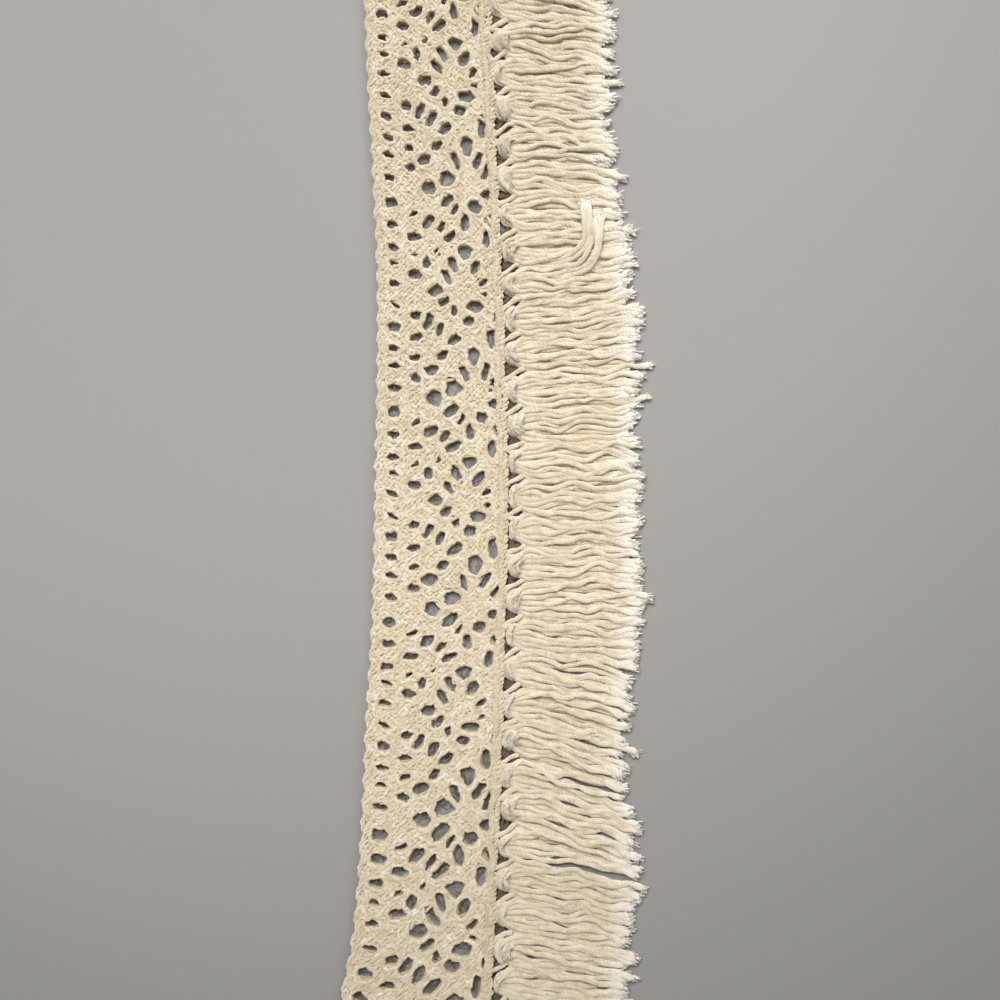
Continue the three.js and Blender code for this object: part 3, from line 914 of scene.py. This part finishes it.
def knot_ties(rng, materials):
    """What binds each knot, and the ties between the knots and the lace, with near-black threads in
    the gaps there as painted shade.
    """
    ties = Spinner("knot_ties", 6, *KNOT_CORD)
    wraps = Spinner("knot_wraps", 6, *KNOT_CORD)
    shaded = Spinner("knot_shade", 5, 0.42, 0.38)
    fuzz = Fibres("knot_fibres")
    t = np.linspace(-1, 1, 13)
    arch = np.sqrt(np.clip(1 - np.abs(t) ** 3, 0, 1))
    for knot, y in knot_places():
        foot = float(lay("foot", y))
        tilt = 0.4 * spread(knot, 7)
        first = rng.uniform(0.9, 1.4)
        for turn in range(int(rng.integers(1, WRAPS + 1))):
            reach = 2.9 - 0.3 * turn + rng.normal(0, 0.3)
            out = first - KNOT_MIDDLE + 0.85 * turn + rng.uniform(1.0, 2.2) * t**2
            out += uneven(rng, len(t), 3, 0.22)
            up = reach * t + uneven(rng, len(t), 4, 0.15)
            x = foot + KNOT_MIDDLE + out * math.cos(tilt) - up * math.sin(tilt)
            z = 0.5 + (2.9 + rng.normal(0, 0.25)) * arch
            route = np.column_stack([x, y + out * math.sin(tilt) + up * math.cos(tilt), z])
            wraps.add(route, 1 + uneven(rng, len(t), 3, 0.18), rng.uniform(0.1, 0.45))
            for at in route[2:11]:
                for _ in range(5):
                    way = rng.normal(0, 0.5, 3) * (1, 1, 0.5)
                    start = at + rng.normal(0, 0.35, 3) * (1, 1, 0) + (0, 0, 0.5)
                    fuzz.add(start - way, start + rng.normal(0, 0.15, 3), start + way, 0.05)
        middle = y + KNOT_PITCH / 2
        if middle + 3 > LENGTH / 2:
            continue
        for tie in range(2 if spread(knot, 31) > SECOND_TIE_ABOVE else 1):
            steep = (1.7 if tie == 0 else -0.3) + 0.6 * rng.uniform(-1, 1)
            place = middle - (0.4, 1.9)[tie] + rng.normal(0, 0.25)
            across = place + steep * t + uneven(rng, len(t), 4, 0.3)
            route = np.column_stack([foot + 1.9 + 2.8 * t, across, 2.0 - 0.5 * t**2])
            ties.add(route, 1.15 + uneven(rng, len(t), 3, 0.2), rng.uniform(0, 0.15))
        # Near-black threads low in each gap between the knots and the lace: painted shade for the
        # deep shadow there.
        for _ in range(SHADED_THREADS):
            at = np.array([foot, middle, 0]) + rng.uniform((0.2, -2.2, 0.4), (3.0, 2.2, 0.8))
            angle = rng.uniform(0, math.pi)
            way = np.array([math.cos(angle), math.sin(angle), 0]) * rng.uniform(1.5, 2.6)
            along = t[::3, None]
            shaded.add(at + way * along + 0.3 * np.sin(3 * along + angle) * (1, 1, 0), 1.5)
    ties.drawn(materials["yarn"], FRINGE)
    shaded.drawn(materials["painted deep shade thread"], FRINGE)
    wraps.drawn(materials["yarn"], FRINGE)
    fuzz.drawn(materials["fibre"], FRINGE)


def foot_plait(rng, materials):
    """The plaited cord at the lace's foot, and the twisted pair that the fringe is looped round."""
    plait = Spinner("foot_plait", 6, 0.41, 0.38)
    y = np.arange(-LENGTH / 2, LENGTH / 2, 0.5)
    sway = uneven(rng, len(y), 9, 0.3)
    for strand in range(3):
        turn = y / PLAIT_TURN * math.tau + strand * math.tau / 3 + uneven(rng, len(y), 7, 0.5)
        x = lay("foot", y) - PLAIT_BACK + 0.5 * np.sin(turn) + sway
        z = WEAVE_LEVEL + 0.5 + 0.5 * np.sin(2 * turn)
        plait.add(np.column_stack([x, y, z]), 1 + uneven(rng, len(y), 3, 0.15))
    sway = uneven(rng, len(y), 6, 0.35)
    for strand in (0, 1):
        turn = y / PAIR_TURN * math.tau + strand * math.pi + uneven(rng, len(y), 7, 0.6)
        x = lay("foot", y) - PAIR_BACK + 0.5 * np.sin(turn) + sway
        z = WEAVE_LEVEL + 0.15 + 0.45 * np.cos(turn)
        plait.add(np.column_stack([x, y, z]), 1 + uneven(rng, len(y), 3, 0.18))
    fuzz = Fibres("foot_fibres")
    standing_fibres(rng, [line[0] for line in plait.lines], fuzz, FOOT_FIBRES)
    fuzz.drawn(materials["fibre"], LACE)
    plait.drawn(materials["thread"], LACE)


def edge_cord(materials):
    """The twisted pair that runs up the looped edge."""
    cord = Spinner("edge_cord", 6, 0.44, 0.4)
    along = np.arange(-LENGTH / 2 + 6, LENGTH / 2, 0.45)
    for strand in (0, 1):
        turn = along / CORD_TURN * math.tau + strand * math.pi
        across = LOOPS_DRAWN_IN + 0.2 - loop_edge(along) + 0.32 * np.sin(turn)
        x, y = on_strip(across, along)
        line = np.column_stack([x, y, WEAVE_LEVEL + 0.34 * np.cos(turn)])
        for run in runs_inside(line, LENGTH / 2):
            cord.add(run)
    cord.drawn(materials["thread"], LACE)


def new_material(name, roughness, specular):
    """A material and its shader."""
    material = bpy.data.materials.new(name)
    material.use_nodes = True
    shader = material.node_tree.nodes["Principled BSDF"]
    shader.inputs["Roughness"].default_value = roughness
    shader.inputs["Specular IOR Level"].default_value = specular
    return material, shader


def attribute(tree, name):
    node = tree.nodes.new("ShaderNodeAttribute")
    node.attribute_name = name
    return node.outputs


def noise(tree, place, scale, detail):
    node = tree.nodes.new("ShaderNodeTexNoise")
    node.inputs["Scale"].default_value = scale
    node.inputs["Detail"].default_value = detail
    tree.links.new(place, node.inputs["Vector"])
    return node.outputs["Fac"]


def relief(tree, shader, height, strength, distance):
    """Let a height stand out on a shader's surface, over a distance in millimetres."""
    node = tree.nodes.new("ShaderNodeBump")
    node.inputs["Strength"].default_value = strength
    node.inputs["Distance"].default_value = distance * MM
    tree.links.new(height, node.inputs["Height"])
    tree.links.new(node.outputs["Normal"], shader.inputs["Normal"])


def object_place(tree):
    return tree.nodes.new("ShaderNodeTexCoord").outputs["Object"]


def given_to(tree, socket, value):
    """Give a socket its value, which is a number, a colour or another socket."""
    if isinstance(value, bpy.types.NodeSocket):
        tree.links.new(value, socket)
    else:
        socket.default_value = value


def math_node(tree, operation, *values):
    node = tree.nodes.new("ShaderNodeMath")
    node.operation = operation
    for socket, value in zip(node.inputs, values):
        given_to(tree, socket, value)
    return node.outputs[0]


def mixed(tree, factor, first, second):
    """A Mix node between two colours, of which the second has this share."""
    node = tree.nodes.new("ShaderNodeMix")
    node.data_type = "RGBA"
    for number, value in ((0, factor), (6, first), (7, second)):
        given_to(tree, node.inputs[number], value)
    return node.outputs[2]


def spun_cotton_group():
    """The twist and the fibres of a spun thread, which every thread's material uses, with painted
    shade in the grooves between the plies.
    """
    group = bpy.data.node_groups.new("spun cotton", "ShaderNodeTree")
    face = group.interface
    for name, start in (("Plies", 3.0), ("Pitch", 3.0), ("Fibre", 1.0)):
        face.new_socket(name, in_out="INPUT", socket_type="NodeSocketFloat").default_value = start
    for name in ("Height", "Groove shade and mottle"):
        face.new_socket(name, in_out="OUTPUT", socket_type="NodeSocketFloat")
    given = group.nodes.new("NodeGroupInput").outputs
    result = group.nodes.new("NodeGroupOutput").inputs
    split = group.nodes.new("ShaderNodeSeparateXYZ")
    group.links.new(attribute(group, "around")["Vector"], split.inputs[0])
    along = attribute(group, "along")["Fac"]
    angle = math_node(group, "ARCTAN2", split.outputs[1], split.outputs[0])
    turns = math_node(group, "DIVIDE", along, given["Pitch"])
    twisted = math_node(group, "MULTIPLY_ADD", turns, math.tau, angle)
    half = math_node(group, "MULTIPLY", math_node(group, "MULTIPLY", twisted, given["Plies"]), 0.5)
    ridge = math_node(group, "ABSOLUTE", math_node(group, "COSINE", half))
    rounded = math_node(group, "POWER", ridge, 0.55)
    place = group.nodes.new("ShaderNodeCombineXYZ")
    group.links.new(math_node(group, "COSINE", twisted), place.inputs[0])
    group.links.new(math_node(group, "SINE", twisted), place.inputs[1])
    group.links.new(math_node(group, "MULTIPLY", along, 0.25), place.inputs[2])
    fibres = noise(group, place.outputs[0], 3.0, 3.0)
    rough = math_node(group, "MULTIPLY", fibres, given["Fibre"])
    group.links.new(math_node(group, "MULTIPLY_ADD", rough, 0.45, rounded), result["Height"])
    # Painted shade: darkest in the grooves between the plies, where little light reaches; the fibre
    # noise mottles it at random.
    groove_shade = math_node(group, "POWER", math_node(group, "SUBTRACT", 1.0, rounded), 2.0)
    mottle_and_groove_shade = math_node(group, "MULTIPLY_ADD", rough, 1.4, groove_shade)
    group.links.new(math_node(group, "SUBTRACT", mottle_and_groove_shade, 0.55), result["Groove shade and mottle"])
    return group


def cotton(name, group, twist, light, deep, white, bump, apart):
    """Spun cotton: lighter on its plies, darker and warmer in its grooves as painted shade, whiter
    towards a cut end.
    """
    material, shader = new_material(name, 0.9, 0.2)
    tree = material.node_tree
    shader.inputs["Diffuse Roughness"].default_value = 1.0
    shader.inputs["Sheen Weight"].default_value = 0.5
    shader.inputs["Sheen Roughness"].default_value = 0.6
    spun = tree.nodes.new("ShaderNodeGroup")
    spun.node_tree = group
    spun.inputs["Plies"].default_value, spun.inputs["Pitch"].default_value = twist
    # The grooves between the plies are painted shade, mixed towards the deep colour.
    groove_shade = math_node(tree, "MULTIPLY", spun.outputs["Groove shade and mottle"], 0.6)
    worked = mixed(tree, groove_shade, light, deep)
    tone = math_node(tree, "MULTIPLY", attribute(tree, "shade")["Fac"], apart)
    toned = mixed(tree, tone, worked, deep)
    patches = noise(tree, object_place(tree), 420.0, 2.0)
    aged = mixed(tree, math_node(tree, "MULTIPLY_ADD", patches, 2.0, -0.85), toned, deep)
    share = math_node(tree, "MULTIPLY", attribute(tree, "whiter")["Fac"], 0.75)
    tree.links.new(mixed(tree, share, aged, white), shader.inputs["Base Color"])
    relief(tree, shader, spun.outputs["Height"], 0.9, bump)
    return material


def plain_cotton(name, colour):
    """The matt cotton of single fibres, too fine to show a twist."""
    material, shader = new_material(name, 0.9, 0.2)
    shader.inputs["Base Color"].default_value = colour
    return material


def painted_shade_ground():
    """The cloth between the lace's threads, coloured darker than them as painted shade."""
    material, shader = new_material("lace ground painted shade", 0.95, 0.5)
    tree = material.node_tree
    weave = noise(tree, object_place(tree), 2200.0, 3.0)
    # Both colours are darker than the threads: painted shade of the threads beneath, mottled at
    # random by the weave noise.
    colour = mixed(tree, weave, (0.62, 0.53, 0.37, 1), (0.8, 0.72, 0.55, 1))
    tree.links.new(colour, shader.inputs["Base Color"])
    relief(tree, shader, weave, 1.0, 0.2)
    return material


def cotton_materials():
    """Every cotton of the trim; those that lie deeper or stand in shade get darker, warmer colours
    as painted shade.
    """
    group = spun_cotton_group()
    cream = (0.78, 0.72, 0.595, 1)
    # The deep colour is painted shade in the plies' grooves, and also the random darker tone of some
    # threads and patches.
    deep = (0.56, 0.45, 0.27, 1)
    white = (0.88, 0.86, 0.82, 1)
    made = {"ground": painted_shade_ground()}
    for kind, name, twist, colour, bump, apart in [
        ("thread", "lace thread", THREAD_TWIST, cream, 0.06, 0.35),
        # Painted shade: the lace's lower threads round the gaps are coloured darker and warmer.
        ("painted shade thread", "lower thread painted shade", THREAD_TWIST, (0.62, 0.51, 0.33, 1), 0.06, 0.25),
        ("yarn", "fringe yarn", YARN_TWIST, (0.83, 0.78, 0.665, 1), 0.13, 0.3),
        # Painted shade: the fringe's lowest yarns, seen in the slits between the others, are
        # coloured darker and warmer.
        ("painted shade yarn", "lower yarn painted shade", YARN_TWIST, (0.765, 0.68, 0.51, 1), 0.16, 0.3),
    ]:
        made[kind] = cotton(name, group, twist, colour, deep, white, bump, apart)
    for kind, name, colour in [
        # Painted shade: near-black threads that stand for the deep shadow between the knots.
        ("painted deep shade thread", "painted deep shade thread", (0.15, 0.12, 0.08, 1)),
        # Painted shade: dark fibres low in the lace's gaps, coloured to stand for the shade there.
        ("painted shade fibre", "painted shade fibre", (0.22, 0.18, 0.125, 1)),
        ("white fibre", "white fibre", (0.88, 0.86, 0.81, 1)),
        ("fibre", "cream fibre", cream),
    ]:
        made[kind] = plain_cotton(name, colour)
    return made


def floor():
    shape = bmesh.new()
    bmesh.ops.create_grid(shape, x_segments=1, y_segments=1, size=1.5)
    mesh = bpy.data.meshes.new("floor")
    shape.to_mesh(mesh)
    shape.free()
    material, shader = new_material("grey table", 0.7, 0.3)
    shader.inputs["Base Color"].default_value = (0.323, 0.32, 0.317, 1)
    mesh.materials.append(material)
    linked("floor", mesh)


def lamp(name, kind, place, aim, power, colour):
    """A light at one place that is aimed at another."""
    data = bpy.data.lights.new(name, kind)
    data.energy = power
    data.color = colour
    made = linked(name, data)
    made.location = place
    made.rotation_euler = (Vector(aim) - Vector(place)).to_track_quat("-Z", "Y").to_euler()
    return data


def studio():
    """A window above the strip's upper end, whose light fades down the table, and a soft room."""
    world = bpy.data.worlds.new("room")
    world.use_nodes = True
    background = world.node_tree.nodes["Background"]
    background.inputs["Color"].default_value = (1.0, 0.955, 0.865, 1)
    background.inputs["Strength"].default_value = 0.28
    bpy.context.scene.world = world
    window = lamp("window", "SPOT", (-0.17, 0.34, 0.36), (-0.085, 0.15, 0), 60, (1.0, 0.975, 0.945))
    window.shadow_soft_size = 0.36
    window.spot_size = math.radians(47)
    window.spot_blend = 1
    ceiling = lamp("ceiling", "AREA", (0.28, 0.33, 0.42), (0.05, 0.1, 0), 1.1, (1.0, 0.98, 0.94))
    ceiling.size = 0.4
    bpy.context.scene.view_settings.view_transform = "Standard"


def camera():
    data = bpy.data.cameras.new("camera")
    data.lens = 50
    data.sensor_width = 36
    data.clip_start = 0.01
    made = linked("camera", data)
    made.location = (0, 0, CAMERA_HIGH)
    bpy.context.scene.camera = made


def lace(rng, materials):
    """The lace: its threads, in three pieces, over the cloth that they close to."""
    gaps = gap_list(rng)
    net = Net()
    net.draw_in(gaps)
    lines = net.threads(rng)
    # The ground cloth is drawn in painted shade.
    ground = lace_ground(gaps, materials["ground"])
    fuzz = Fibres("lace_fibres")
    # The rims are drawn in the darker colour of painted shade.
    gap_rims(rng, gaps, materials["painted shade thread"], fuzz)
    # The gaps' low fibres are drawn in the dark colour of painted shade.
    gap_shade(rng, gaps, materials["painted shade fibre"])
    for part in range(3):
        spinner = Spinner(f"lace_threads_{part + 1}", 5, THREAD, THREAD * 0.9)
        for number, line in enumerate(lines):
            if number % 3 == part:
                whiter = np.clip(uneven(rng, len(line), 3, 0.42), 0, 0.9)
                spinner.add(line, 1 + uneven(rng, len(line), 3, 0.13), whiter)
        spinner.drawn(materials["thread"], LACE)
    standing_fibres(rng, lines, fuzz, LACE_FIBRES)
    fuzz.drawn(materials["fibre"], LACE)


camera()
studio()
floor()
rng = np.random.default_rng(SEED)
materials = cotton_materials()
lace(rng, materials)
foot_plait(rng, materials)
edge_cord(materials)
fringe(rng, materials)
knot_ties(rng, materials)
